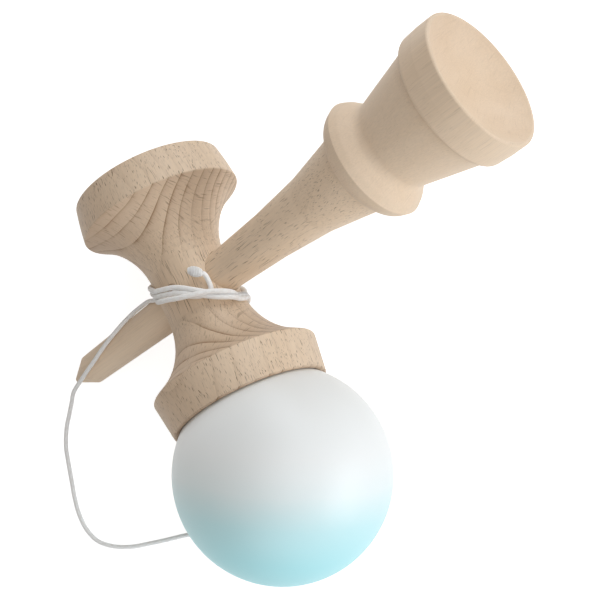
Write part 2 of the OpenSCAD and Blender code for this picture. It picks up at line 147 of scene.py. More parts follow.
def linear(code):
    """Linear colour of an sRGB hex code."""
    parts = [int(code[i : i + 2], 16) / 255 for i in (0, 2, 4)]
    return tuple(c / 12.92 if c <= 0.04045 else ((c + 0.055) / 1.055) ** 2.4 for c in parts)


def colour(name, description, code):
    """A colour that the user can change, from its sRGB hex code."""
    return bpy.props.FloatVectorProperty(
        name=name, description=description, default=linear(code), size=3, min=0, max=1, subtype="COLOR"
    )


def share(name, description, default):
    """A part of 1 that the user can change."""
    return bpy.props.FloatProperty(
        name=name, description=description, default=default, min=0, max=1, subtype="FACTOR"
    )


def number(name, description, default, least, most, unit="NONE"):
    """A size or strength that the user can change within limits."""
    return bpy.props.FloatProperty(
        name=name, description=description, default=default, min=least, max=most, unit=unit
    )


class BeechLook(bpy.types.PropertyGroup):
    pale: colour("Pale wood", "Earlywood of the plain sanded beech", "EED9C1")
    warm: colour("Warm wood", "Broad warmer streaks along the grain", "E2C8AA")
    ring: colour("Growth ring", "Latewood line at the end of each year", "8E6A48")
    ray: colour("Ray", "Rays, which show as short dark dashes", "65421F")
    # Painted shade: the wood is darker towards one side of each piece
    painted_shade: share("Painted_side_shade", "How much darker the wood is on its heart side", 0.22)
    # End grain, and painted shade on the cups' undersides: ringed wood cut across is darker
    end_grain_and_shade: share("End grain", "How much darker ringed wood is where it is cut across", 0.4)
    ring_mm: number("Ring spacing", "Width of one year's growth in millimetres", 3.25, 1, 12)
    dash_mm: number("Dash spacing", "Length of a dash and the gap after it in millimetres", 10, 1, 16)


class BallLook(bpy.types.PropertyGroup):
    white: colour("White", "Lacquer at the pale end of the ball", "F7FAFA")
    turquoise: colour("Turquoise", "Lacquer at the coloured end of the ball", "AAECF4")
    wood: colour("Bare wood", "Wood inside the ball's holes", "DDC4A2")
    gloss: share("Roughness", "Roughness of the satin lacquer", 0.46)


class CordLook(bpy.types.PropertyGroup):
    white: colour("Cord", "Bleached polyester yarn", "FCFCFB")
    # Painted shade of the yarn deep between the strands
    shade: colour("Between strands", "Yarn deep between the strands", "F5F3F1")
    diameter: number("Diameter", "Cord across", 1.2 * MM, 0.0005, 0.003, "LENGTH")
    braid_mm: number("Braid pitch", "Length of one crossing of the braid in millimetres", 1.1, 0.4, 4)


class StageLook(bpy.types.PropertyGroup):
    floor: colour("Floor", "Pale studio floor", "DADADA")
    glow: share("Floor glow", "How much brighter than its lit paper the camera sees the floor", 0.77)
    key: number("Key lamp", "Power of the lamp on the right", 7.0, 0, 50, "POWER")
    top: number("Top lamp", "Power of the lamp above", 4.0, 0, 50, "POWER")
    low: number("Low lamp", "Power of the lamp below", 2.5, 0, 50, "POWER")
    front: number("Front lamp", "Power of the lamp by the camera", 1.5, 0, 50, "POWER")
    ambient: number("Ambient", "Strength of the white surround", 0.295, 0, 2)
    cool: colour("Lamp light", "Light of the lamps, a little cool", "F5FAFF")
    warm: colour("Surround light", "Light that the surround throws on the toy, a little warm", "FFF7EE")
    lens: number("Lens", "Focal length of the camera in millimetres", 127.25, 20, 300)


def add_node(tree, kind, inputs=(), **settings):
    """Adds a node with its settings, and sets or links each named input."""
    node = tree.nodes.new(kind)
    for key, value in settings.items():
        setattr(node, key, value)
    for key, value in dict(inputs).items():
        if isinstance(value, bpy.types.NodeSocket):
            tree.links.new(value, node.inputs[key])
        else:
            node.inputs[key].default_value = value
    return node


def new_material(name):
    """An empty material and its node tree."""
    material = bpy.data.materials.new(name)
    material.use_nodes = True
    material.node_tree.nodes.clear()
    return material, material.node_tree


def rgba(value):
    """A colour with full cover."""
    return (value[0], value[1], value[2], 1)


def beech(name, look, grain, pith, painted_shade_way, rings, rays, marked=None):
    """Plain sanded beech. The eye sees a pale pinkish tan, faint growth rings and the rays: thin
    ribbons out from the pith, which show as short dark dashes along the grain and as fine lines
    where the wood is cut across. Patterns are in millimetres of the piece's own frame, whose
    first axis is the grain. Outside the marked stretch along it, the rings and rays nearly fade out."""
    material, tree = new_material(name)
    coords = add_node(tree, "ShaderNodeTexCoord")
    place = add_node(
        tree, "ShaderNodeMapping",
        {
            "Vector": coords.outputs["Object"], "Location": CROSSING * MM, "Rotation": grain.to_euler(),
            "Scale": (MM, MM, MM),
        },
        vector_type="TEXTURE",
    ).outputs["Vector"]
    # How far the surface is cut across the grain
    facing = add_node(
        tree, "ShaderNodeVectorMath", {0: coords.outputs["Normal"], 1: grain.col[0]},
        operation="DOT_PRODUCT",
    )
    cut = add_node(tree, "ShaderNodeMath", {0: facing.outputs["Value"]}, operation="ABSOLUTE").outputs[0]
    # Broad streaks
    streak = add_node(tree, "ShaderNodeVectorMath", {0: place, 1: STREAK_MM}, operation="DIVIDE")
    broad = add_node(
        tree, "ShaderNodeTexNoise",
        {"Vector": streak.outputs[0], "Scale": 1, "Detail": 3, "Roughness": 0.55},
    )
    ground = add_node(
        tree, "ShaderNodeMix", {"Factor": broad.outputs[0], 6: rgba(look.pale), 7: rgba(look.warm)},
        data_type="RGBA"
    ).outputs[2]
    # Place about the pith, which lies off the piece: along the grain, out from it and round it
    from_pith = add_node(tree, "ShaderNodeVectorMath", {0: place, 1: pith}, operation="SUBTRACT")
    parts = add_node(tree, "ShaderNodeSeparateXYZ", {"Vector": from_pith.outputs[0]})
    across = add_node(
        tree, "ShaderNodeVectorMath", {0: from_pith.outputs[0], 1: (RING_TAPER, 1, 1)},
        operation="MULTIPLY",
    )
    reach = add_node(
        tree, "ShaderNodeVectorMath", {0: across.outputs[0]}, operation="LENGTH"
    ).outputs["Value"]
    angle = add_node(
        tree, "ShaderNodeMath", {0: parts.outputs[2], 1: parts.outputs[1]}, operation="ARCTAN2"
    )
    round_it = add_node(
        tree, "ShaderNodeMath", {0: angle.outputs[0], 1: Vector(pith[1:]).length}, operation="MULTIPLY"
    )
    # Painted shade that darkens the wood over 18 mm towards one side, and darker wood where it is cut
    # across: end grain, with painted shade added for the cups' undersides
    toward_shade = add_node(tree, "ShaderNodeVectorMath", {0: place, 1: painted_shade_way}, operation="DOT_PRODUCT")
    painted_shade = add_node(
        tree, "ShaderNodeMapRange",
        {"Value": toward_shade.outputs["Value"], "From Max": 18, "To Max": look.painted_shade}
    )
    deep = add_node(
        tree, "ShaderNodeMath", {0: cut, 1: look.end_grain_and_shade * rings, 2: painted_shade.outputs[0]},
        operation="MULTIPLY_ADD",
    )
    ground = add_node(
        tree, "ShaderNodeMix", {"Factor": deep.outputs[0], 6: ground, 7: rgba(look.ring)},
        data_type="RGBA"
    ).outputs[2]
    # Growth rings waver a little, and come and go
    waver_at = add_node(tree, "ShaderNodeVectorMath", {0: place, 1: WAVER_MM}, operation="DIVIDE")
    waver = add_node(
        tree, "ShaderNodeTexNoise",
        {"Vector": waver_at.outputs[0], "Scale": 1, "Detail": 2, "Roughness": 0.4},
    )
    wavered = add_node(
        tree, "ShaderNodeMath", {0: waver.outputs[0], 1: WAVER_BY, 2: reach}, operation="MULTIPLY_ADD"
    )
    year = add_node(tree, "ShaderNodeMath", {0: wavered.outputs[0], 1: look.ring_mm}, operation="DIVIDE")
    season = add_node(tree, "ShaderNodeMath", {0: year.outputs[0]}, operation="FRACT")
    late = add_node(
        tree, "ShaderNodeMapRange", {"Value": season.outputs[0], "From Min": 0.15, "From Max": 0.99}
    )
    late_shade = add_node(tree, "ShaderNodeMath", {0: late.outputs[0], 1: 2.0}, operation="POWER")
    late_line = add_node(tree, "ShaderNodeMath", {0: late.outputs[0], 1: 12.0}, operation="POWER")
    late_edge = add_node(
        tree, "ShaderNodeMath", {0: late_shade.outputs[0], 1: 0.6, 2: late_line.outputs[0]},
        operation="MULTIPLY_ADD",
    )
    fading = add_node(
        tree, "ShaderNodeMapRange",
        {"Value": broad.outputs[0], "From Min": 0.35, "From Max": 0.6, "To Min": 0.25, "To Max": 1},
    )
    on_cut = add_node(
        tree, "ShaderNodeMapRange",
        {"Value": cut, "From Min": 0.1, "From Max": 0.6, "To Min": 0.12, "To Max": 1},
    )
    ring_share = add_node(
        tree, "ShaderNodeMath", {0: fading.outputs[0], 1: on_cut.outputs[0]}, operation="MULTIPLY"
    )
    ring_share = add_node(
        tree, "ShaderNodeMath", {0: ring_share.outputs[0], 1: rings}, operation="MULTIPLY"
    ).outputs[0]
    # Rings and rays fade to a fifth over 8 mm at each end of the marked stretch
    if marked is not None:
        middle, half = (marked[0] + marked[1]) / 2, (marked[1] - marked[0]) / 2
        along = add_node(tree, "ShaderNodeSeparateXYZ", {"Vector": place})
        aside = add_node(tree, "ShaderNodeMath", {0: along.outputs[0], 1: middle}, operation="SUBTRACT")
        aside = add_node(tree, "ShaderNodeMath", {0: aside.outputs[0]}, operation="ABSOLUTE")
        shown = add_node(
            tree, "ShaderNodeMapRange",
            {
                "Value": aside.outputs[0], "From Min": half - 4, "From Max": half + 4, "To Min": 1,
                "To Max": 0.2,
            },
        ).outputs[0]
        ring_share = add_node(
            tree, "ShaderNodeMath", {0: shown, 1: ring_share}, operation="MULTIPLY"
        ).outputs[0]
        rays = add_node(tree, "ShaderNodeMath", {0: shown, 1: rays}, operation="MULTIPLY").outputs[0]
    late_share = add_node(
        tree, "ShaderNodeMath", {0: late_edge.outputs[0], 1: ring_share}, operation="MULTIPLY"
    )
    ringed = add_node(
        tree, "ShaderNodeMix", {"Factor": late_share.outputs[0], 6: ground, 7: rgba(look.ring)},
        data_type="RGBA"
    ).outputs[2]
    # Fibres, drawn about 0.35 mm wide so that they show
    fibre_at = add_node(tree, "ShaderNodeVectorMath", {0: place, 1: FIBRE_MM}, operation="DIVIDE")
    fibre = add_node(tree, "ShaderNodeTexNoise", {"Vector": fibre_at.outputs[0], "Scale": 1, "Detail": 2})
    fibre_shade = add_node(
        tree, "ShaderNodeMapRange",
        {"Value": fibre.outputs[0], "From Min": 0.3, "From Max": 0.7, "To Min": 0.95, "To Max": 1.03}
    )
    fibred = add_node(
        tree, "ShaderNodeMix", {"Factor": 1.0, 6: ringed, 7: fibre_shade.outputs[0]}, data_type="RGBA",
        blend_type="MULTIPLY"
    ).outputs[2]
    # Rays, drawn about 0.2 mm wide so that they show: dashes along the grain, a little bent, and fine
    # lines out from the pith where the wood is cut across
    bend_at = add_node(tree, "ShaderNodeVectorMath", {0: place, 1: BEND_MM}, operation="DIVIDE")
    bend = add_node(tree, "ShaderNodeTexNoise", {"Vector": bend_at.outputs[0], "Scale": 1, "Detail": 1})
    bent = add_node(
        tree, "ShaderNodeMath", {0: bend.outputs[0], 1: BEND_BY, 2: round_it.outputs[0]},
        operation="MULTIPLY_ADD",
    )
    about_pith = add_node(
        tree, "ShaderNodeCombineXYZ", {0: parts.outputs[0], 1: reach, 2: bent.outputs[0]}
    )
    dash_at = add_node(
        tree, "ShaderNodeVectorMath", {0: about_pith.outputs[0], 1: (look.dash_mm, *DASH_MM)},
        operation="DIVIDE"
    )
    dash_noise = add_node(
        tree, "ShaderNodeTexNoise", {"Vector": dash_at.outputs[0], "Scale": 1, "Detail": 0.5}
    )
    dash = add_node(
        tree, "ShaderNodeMapRange", {"Value": dash_noise.outputs[0], "From Min": 0.635, "From Max": 0.74}
    )
    on_side = add_node(
        tree, "ShaderNodeMapRange",
        {"Value": cut, "From Min": 0.2, "From Max": 0.6, "To Min": 1, "To Max": 0},
    )
    side_dash = add_node(
        tree, "ShaderNodeMath", {0: dash.outputs[0], 1: on_side.outputs[0]}, operation="MULTIPLY"
    )
    line_at = add_node(
        tree, "ShaderNodeVectorMath", {0: about_pith.outputs[0], 1: LINE_MM}, operation="DIVIDE"
    )
    line_noise = add_node(
        tree, "ShaderNodeTexNoise", {"Vector": line_at.outputs[0], "Scale": 1, "Detail": 0.5}
    )
    line = add_node(
        tree, "ShaderNodeMapRange",
        {"Value": line_noise.outputs[0], "From Min": 0.6, "From Max": 0.78, "To Max": 0.7}
    )
    end_line = add_node(
        tree, "ShaderNodeMath", {0: line.outputs[0], 1: on_cut.outputs[0]}, operation="MULTIPLY"
    )
    both_rays = add_node(
        tree, "ShaderNodeMath", {0: side_dash.outputs[0], 1: end_line.outputs[0]}, operation="MAXIMUM"
    )
    any_ray = add_node(tree, "ShaderNodeMath", {0: both_rays.outputs[0], 1: rays}, operation="MULTIPLY")
    rayed = add_node(
        tree, "ShaderNodeMix", {"Factor": any_ray.outputs[0], 6: fibred, 7: rgba(look.ray)},
        data_type="RGBA"
    ).outputs[2]
    # Rays lie a little below the sanded surface and fibres stand a little proud
    height = add_node(
        tree, "ShaderNodeMath", {0: any_ray.outputs[0], 1: -0.25, 2: fibre.outputs[0]},
        operation="MULTIPLY_ADD",
    )
    bump = add_node(
        tree, "ShaderNodeBump", {"Strength": 0.35, "Distance": 0.06 * MM, "Height": height.outputs[0]}
    )
    rough = add_node(
        tree, "ShaderNodeMapRange",
        {"Value": fibre.outputs[0], "From Min": 0.3, "From Max": 0.7, "To Min": 0.52, "To Max": 0.66}
    )
    shader = add_node(
        tree, "ShaderNodeBsdfPrincipled",
        {
            "Base Color": rayed, "Roughness": rough.outputs[0], "Normal": bump.outputs[0], "IOR": 1.45,
            "Specular IOR Level": 0.65, "Sheen Weight": 0.1, "Sheen Roughness": 0.4,
        },
    )
    add_node(tree, "ShaderNodeOutputMaterial", {"Surface": shader.outputs[0]})
    return material


def lacquer(name, look):
    """Satin lacquer sprayed on a wooden ball. The eye sees a soft even sheen and a colour that
    fades from white to turquoise, with bare wood below the edge of each hole."""
    material, tree = new_material(name)
    coords = add_node(tree, "ShaderNodeTexCoord")
    from_centre = add_node(
        tree, "ShaderNodeMapping",
        {"Vector": coords.outputs["Object"], "Location": BALL_CENTRE * MM, "Scale": (MM * BALL_R,) * 3},
        vector_type="TEXTURE",
    ).outputs["Vector"]
    # The sprayer's axis, from the turquoise end to the white one
    height = add_node(
        tree, "ShaderNodeVectorMath", {0: from_centre, 1: (0.526, 0.805, 0.275)}, operation="DOT_PRODUCT"
    )
    cloud = add_node(tree, "ShaderNodeTexNoise", {"Vector": from_centre, "Scale": 4, "Detail": 2})
    spread = add_node(
        tree, "ShaderNodeMath", {0: cloud.outputs[0], 1: 0.05, 2: height.outputs["Value"]},
        operation="MULTIPLY_ADD",
    )
    level = add_node(
        tree, "ShaderNodeMapRange", {"Value": spread.outputs[0], "From Min": -1, "From Max": 1}
    )
    fade = add_node(tree, "ShaderNodeValToRGB", {"Fac": level.outputs[0]})
    # How much turquoise there is at each height, from 0 at that end to 1 at the white one
    stops = (
        (0.06, 1.0), (0.18, 0.93), (0.28, 0.78), (0.36, 0.66),
        (0.44, 0.42), (0.52, 0.17), (0.60, 0.06), (0.68, 0.0),
    )
    ramp = fade.color_ramp
    while len(ramp.elements) < len(stops):
        ramp.elements.new(0.5)
    for element, (at, amount) in zip(ramp.elements, stops):
        element.position = at
        element.color = (amount, amount, amount, 1)
    coat = add_node(
        tree, "ShaderNodeMix", {"Factor": fade.outputs[0], 6: rgba(look.white), 7: rgba(look.turquoise)},
        data_type="RGBA"
    ).outputs[2]
    depth = add_node(tree, "ShaderNodeVectorMath", {0: from_centre}, operation="LENGTH")
    bare = add_node(
        tree, "ShaderNodeMapRange",
        {"Value": depth.outputs["Value"], "From Min": 0.975, "From Max": 0.985, "To Min": 1, "To Max": 0}
    )
    grain_at = add_node(
        tree, "ShaderNodeVectorMath", {0: from_centre, 1: (60, 9, 60)}, operation="MULTIPLY"
    )
    grain = add_node(tree, "ShaderNodeTexNoise", {"Vector": grain_at.outputs[0], "Scale": 1, "Detail": 2})
    grain_shade = add_node(
        tree, "ShaderNodeMapRange",
        {"Value": grain.outputs[0], "From Min": 0.3, "From Max": 0.7, "To Min": 0.82, "To Max": 1.05},
    )
    inside = add_node(
        tree, "ShaderNodeMix", {"Factor": 1.0, 6: rgba(look.wood), 7: grain_shade.outputs[0]},
        data_type="RGBA", blend_type="MULTIPLY"
    ).outputs[2]
    whole = add_node(
        tree, "ShaderNodeMix", {"Factor": bare.outputs[0], 6: coat, 7: inside}, data_type="RGBA"
    ).outputs[2]
    # Orange peel of the sprayed coat, drawn 0.7 mm wide so that it shows
    peel = add_node(
        tree, "ShaderNodeTexNoise", {"Vector": from_centre, "Scale": BALL_R / 0.7, "Detail": 1}
    )
    bump = add_node(
        tree, "ShaderNodeBump", {"Strength": 0.08, "Distance": 0.05 * MM, "Height": peel.outputs[0]}
    )
    rough = add_node(
        tree, "ShaderNodeMapRange",
        {"Value": cloud.outputs[0], "To Min": look.gloss - 0.04, "To Max": look.gloss + 0.04}
    )
    shader = add_node(
        tree, "ShaderNodeBsdfPrincipled",
        {
            "Base Color": whole, "Roughness": rough.outputs[0], "Normal": bump.outputs[0], "IOR": 1.5,
            "Specular IOR Level": 0.5, "Coat Weight": 0.3, "Coat Roughness": 0.4,
        },
    )
    add_node(tree, "ShaderNodeOutputMaterial", {"Surface": shader.outputs[0]})
    return material


def braid(name, look):
    """Braided polyester cord. The eye sees soft white yarn with a fine diamond of strands. The
    pattern follows the cord's own map: x round it and y along it in millimetres."""
    material, tree = new_material(name)
    track = add_node(tree, "ShaderNodeUVMap", uv_map="along_cord")
    parts = add_node(tree, "ShaderNodeSeparateXYZ", {"Vector": track.outputs[0]})
    turns = add_node(tree, "ShaderNodeMath", {0: parts.outputs[0], 1: 4.0}, operation="MULTIPLY")
    runs = add_node(tree, "ShaderNodeMath", {0: parts.outputs[1], 1: look.braid_mm}, operation="DIVIDE")
    left = add_node(tree, "ShaderNodeMath", {0: turns.outputs[0], 1: runs.outputs[0]}, operation="ADD")
    right = add_node(
        tree, "ShaderNodeMath", {0: turns.outputs[0], 1: runs.outputs[0]}, operation="SUBTRACT"
    )
    left_wave = add_node(tree, "ShaderNodeMath", {0: left.outputs[0], 1: 1.0}, operation="PINGPONG")
    right_wave = add_node(tree, "ShaderNodeMath", {0: right.outputs[0], 1: 1.0}, operation="PINGPONG")
    crown = add_node(
        tree, "ShaderNodeMath", {0: left_wave.outputs[0], 1: right_wave.outputs[0]}, operation="MULTIPLY"
    )
    strand = add_node(
        tree, "ShaderNodeMapRange", {"Value": crown.outputs[0], "From Max": 0.5},
        interpolation_type="SMOOTHSTEP",
    )
    fuzz = add_node(tree, "ShaderNodeTexNoise", {"Vector": track.outputs[0], "Scale": 9, "Detail": 2})
    depth = add_node(
        tree, "ShaderNodeMath", {0: fuzz.outputs[0], 1: 0.5, 2: strand.outputs[0]},
        operation="MULTIPLY_ADD",
    )
    tone = add_node(
        tree, "ShaderNodeMapRange", {"Value": depth.outputs[0], "From Min": 0.1, "From Max": 0.8}
    )
    # Painted shade: the yarn deep between the strands takes the darker colour
    yarn = add_node(
        tree, "ShaderNodeMix", {"Factor": tone.outputs[0], 6: rgba(look.shade), 7: rgba(look.white)},
        data_type="RGBA"
    ).outputs[2]
    bump = add_node(
        tree, "ShaderNodeBump", {"Strength": 0.1, "Distance": 0.05 * MM, "Height": depth.outputs[0]}
    )
    shader = add_node(
        tree, "ShaderNodeBsdfPrincipled",
        {
            "Base Color": yarn, "Roughness": 0.8, "Normal": bump.outputs[0], "IOR": 1.5,
            "Specular IOR Level": 0.25, "Sheen Weight": 0.3, "Subsurface Weight": 0.6,
            "Subsurface Radius": (1, 1, 1), "Subsurface Scale": 0.6 * MM,
        },
    )
    add_node(tree, "ShaderNodeOutputMaterial", {"Surface": shader.outputs[0]})
    return material


def laid(point):
    """From the toy's own frame to the table's."""
    return CROSSING + LIE @ Vector(point)


def swept(u):
    """How far the sweep has risen from the waist, u past its start."""
    return 0.0 if u <= 0 else SWEEP_R - sqrt(SWEEP_R * SWEEP_R - u * u)


def waist_at(y):
    """The crossbar's radius along its waist."""
    return WAIST_R + swept(y - SMALL_FOOT + SWEEP_REACH) + swept(-y - BIG_FOOT + SWEEP_REACH)


def shaft_at(x):
    """The handle's radius along its taper."""
    return SHAFT_R + SHAFT_TAPER * x


def eased(at, start, end):
    """Goes smoothly from 0 at start to 1 at end."""
    u = min(1.0, max(0.0, (at - start) / (end - start)))
    return u * u * (3 - 2 * u)


def on_waist(angle, y, cord_r, up):
    """Place of a cord on the waist: angle round it, y along it, and up off the wood."""
    r = waist_at(y) + cord_r + LAY_GAP + up
    return Vector((r * cos(radians(angle)), y, r * sin(radians(angle))))


def on_spike(x, angle, cord_r):
    """Place of a cord on the spike: x along it and angle round it."""
    r = shaft_at(x) + cord_r + LAY_GAP
    return Vector((x, r * cos(radians(angle)), r * sin(radians(angle))))


def smooth_line(points, step):
    """A smooth line through points, with a point about every step millimetres."""
    points = [Vector(p) for p in points]
    line = []
    for i in range(len(points) - 1):
        a, b = points[max(i - 1, 0)], points[i]
        c, d = points[i + 1], points[min(i + 2, len(points) - 1)]
        count = max(1, ceil((c - b).length / step))
        for k in range(count):
            t = k / count
            line.append(
                0.5 * (
                    2 * b + (c - a) * t + (2 * a - 5 * b + 4 * c - d) * t * t
                    + (3 * b - a - 3 * c + d) * t * t * t
                )
            )
    return line + [points[-1]]


def cord_mesh(name, line, radius):
    """A closed tube along a line in millimetres, with a map that follows the cord."""
    sides = CORD_SIDES
    count = len(line)
    ways = [(line[min(i + 1, count - 1)] - line[max(i - 1, 0)]).normalized() for i in range(count)]
    side = ways[0].orthogonal().normalized()
    verts, along, run = [], [], 0.0
    for i, (centre, way) in enumerate(zip(line, ways)):
        side = (side - way * side.dot(way)).normalized()
        other = way.cross(side)
        run += (centre - line[i - 1]).length if i else 0.0
        along.append(run)
        for k in range(sides):
            turn = 2 * pi * k / sides
            verts.append((centre + radius * (cos(turn) * side + sin(turn) * other)) * MM)
    faces, spots = [], []
    for i in range(count - 1):
        for k in range(sides):
            n = (k + 1) % sides
            faces.append((i * sides + k, i * sides + n, (i + 1) * sides + n, (i + 1) * sides + k))
            spots += [
                (k / sides, along[i]), ((k + 1) / sides, along[i]), ((k + 1) / sides, along[i + 1]),
                (k / sides, along[i + 1]),
            ]
    last = (count - 1) * sides
    for start, order, at in ((0, range(sides - 1, -1, -1), along[0]), (last, range(sides), along[-1])):
        faces.append(tuple(start + k for k in order))
        spots += [(k / sides, at) for k in order]
    mesh = bpy.data.meshes.new(name)
    mesh.from_pydata(verts, [], faces)
    layer = mesh.uv_layers.new(name="along_cord")
    for loop, spot in zip(layer.data, spots):
        loop.uv = spot
    mesh.shade_smooth()
    mesh.update()
    piece = bpy.data.objects.new(name, mesh)
    bpy.context.scene.collection.objects.link(piece)
    return piece


def winding(cord_r):
    """The winding's line in the toy's frame: out of the lock hole at the back, round below the
    grip and above the spike, and over the tucked end at the front. The turns lie close by the
    grip, where the last one crosses over the others, and fan out by the spike."""
    swing, pitch, fan, flank = 8.1, 1.94, 0.3, 0.1
    first, last, steps = -79, 856, 400
    # Shifts of each of the three turns: by the grip, by the spike, and up where it crosses
    closing, fanning, climb = (-1.8, -1.1, 2.3), (0.05, 0.35, 0.6), (0, 0, 1.05)
    mid = swing - shaft_at(WAIST_R) - cord_r - CROSS_GAP
    back_shift = mid + pitch * (1 + fan) / 4

    def place(a):
        turn = floor((a + 90) / 360)
        w = a - 360 * turn
        by_grip = eased(w, -60, -10)
        back = max(0.0, -sin(radians(a)))
        wave = (cos(radians(a)) + flank * cos(radians(3 * a))) / (1 + flank)
        y = mid - swing * wave - back_shift * back * back - pitch * a / 360 * (1 + fan * back * back)
        y += closing[turn] * by_grip * eased(w, 85, 35) + fanning[turn] * eased(w, 60, 100)
        y += 0.5 * eased(w, 20, -5) * by_grip - 0.4 * eased(w, 15, 40) * eased(w, 80, 55)
        up = (2 * cord_r + CROSS_GAP) * eased(w, 0, 22) * eased(w, 128, 106)
        up += climb[turn] * eased(w, 4, 32) * eased(w, 125, 95)
        return on_waist(a, y, cord_r, up)

    way = (place(first + 1) - place(first - 1)).normalized()
    lead = Vector((way.x, way.y, 0)).normalized()
    line = out_of_hole(-1, lead, cord_r)
    line += [place(first + (last - first) * i / steps) for i in range(2, steps + 1)]
    end_way = (place(last + 1) - place(last - 1)).normalized()
    line.append(line[-1] + 2 * cord_r * end_way)
    return line


def out_of_hole(side, lead, cord_r):
    """A cord comes straight out of the lock hole and bends over onto the waist."""
    bend_r = BEND_RADII * cord_r
    waist = WAIST_R + cord_r + LAY_GAP
    start = sqrt(waist * waist - (bend_r * lead.x) ** 2) - bend_r
    line = [Vector((0, 0, side * (start - 2 * cord_r)))]
    for a in range(0, 91, 10):
        line.append(
            Vector(
                (0, 0, side * (start + bend_r * sin(radians(a))))
            ) + bend_r * (1 - cos(radians(a))) * lead
        )
    return line


def stopper_knot(start, way, cord_r, length):
    """Line of a tight stopper knot, close turns of the cord about its own run, that begins at
    start and goes on along way."""
    side = way.orthogonal().normalized()
    other = way.cross(side)
    line = []
    for i in range(1, KNOT_POINTS + 1):
        t = i / KNOT_POINTS
        turn = 2 * pi * KNOT_TURNS * t
        # Widest in the middle, and not quite closed at the end
        r = 1.3 * cord_r * sqrt(sin(pi * t * 0.97))
        line.append(start + way * length * t + r * (cos(turn) * side + sin(turn) * other))
    return line


def loop_line(cord_r):
    """The free cord's line, on the table's frame: from the winding along the spike, over the
    table and up into the ball's eye."""
    eye_way = -HOLE_WAY
    mouth = BALL_CENTRE + eye_way * BALL_R
    aside = Vector(TABLE_ROUTE[-1]) - mouth
    aside = (aside - eye_way * aside.dot(eye_way)).normalized()
    bend_r = BEND_RADII * cord_r
    bend = [
        EYE_START + eye_way * (
            2 * cord_r + bend_r * sin(radians(a))
        ) + aside * bend_r * (1 - cos(radians(a)))
        for a in range(66, -1, -11)
    ]
    route = [laid(winding(cord_r)[-1])] + [laid(on_spike(x, a, cord_r)) for x, a in SPIKE_ROUTE]
    route += [Vector(p) for p in TABLE_ROUTE] + [bend[0]]
    return smooth_line(route, step=0.7) + bend[1:] + [EYE_START]


def recoat(node, material):
    """Puts one material on a CAD node in place of its own."""
    node.data.materials.clear()
    node.data.materials.append(material)


class TOY_OT_handle(bpy.types.Operator):
    """Gives the handle its plain beech, with the grain along it"""

    bl_idname = "toy.handle"
    bl_label = "Handle"

    def execute(self, context):
        node = frame["nodes"]["handle"]
        recoat(node, beech(
            "beech_handle", context.scene.toy_beech, LIE, pith=(0, 34, -46), painted_shade_way=(0, 0.45, 0.2),
            rings=0.12, rays=0.62, marked=(-4, 64),
        ))
        return {"FINISHED"}


class TOY_OT_crossbar(bpy.types.Operator):
    """Gives the crossbar its plain beech, with the grain from cup to cup"""

    bl_idname = "toy.crossbar"
    bl_label = "Crossbar"

    def execute(self, context):
        grain = Matrix((LIE.col[1], LIE.col[2], LIE.col[0])).transposed()
        node = frame["nodes"]["crossbar"]
        recoat(node, beech(
            "beech_crossbar", context.scene.toy_beech, grain, pith=(-30, -73.8, 15),
            painted_shade_way=(0, 0.53, -0.85), rings=0.75, rays=0.75,
        ))
        return {"FINISHED"}


class TOY_OT_ball(bpy.types.Operator):
    """Gives the ball its faded satin lacquer"""

    bl_idname = "toy.ball"
    bl_label = "Ball"

    def execute(self, context):
        node = frame["nodes"]["ball"]
        recoat(node, lacquer("satin_lacquer", context.scene.toy_ball))
        return {"FINISHED"}


class TOY_OT_wound_cord(bpy.types.Operator):
    """Winds the cord on the crossbar's waist, with its end tucked under and knotted"""

    bl_idname = "toy.wound_cord"
    bl_label = "Wound cord"

    def execute(self, context):
        look = context.scene.toy_cord
        cord_r = look.diameter / MM / 2
        lead = Vector((cos(TAIL_LEAD), -sin(TAIL_LEAD), 0))
        bend = out_of_hole(1, lead, cord_r)
        places = [bend[-1]] + [on_waist(a, y, cord_r, up) for a, y, up in TAIL_ROUTE]
        tail = bend[:-1] + smooth_line(places, step=0.35)
        way = (tail[-1] - tail[-2]).normalized()
        tail += stopper_knot(tail[-1], way, cord_r, length=3.4)
        line = [laid(p) for p in tail[::-1] + winding(cord_r)]
        piece = cord_mesh("string_wound", line, cord_r * WOUND_SWELL)
        piece.data.materials.append(braid("braided_cord", look))
        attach(piece, "toy")
        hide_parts("cord_wrap", "cord_lock", "cord_tail", "tail_knot")
        return {"FINISHED"}


class TOY_OT_free_cord(bpy.types.Operator):
    """Lays the free cord from the winding along the spike and over the table to the ball"""

    bl_idname = "toy.free_cord"
    bl_label = "Free cord"

    def execute(self, context):
        look = context.scene.toy_cord
        cord_r = look.diameter / MM / 2
        line = loop_line(cord_r)
        piece = cord_mesh("string_loop", line, cord_r)
        piece.data.materials.append(bpy.data.materials["braided_cord"])
        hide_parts("cord_loop")
        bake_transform(piece)
        return {"FINISHED"}


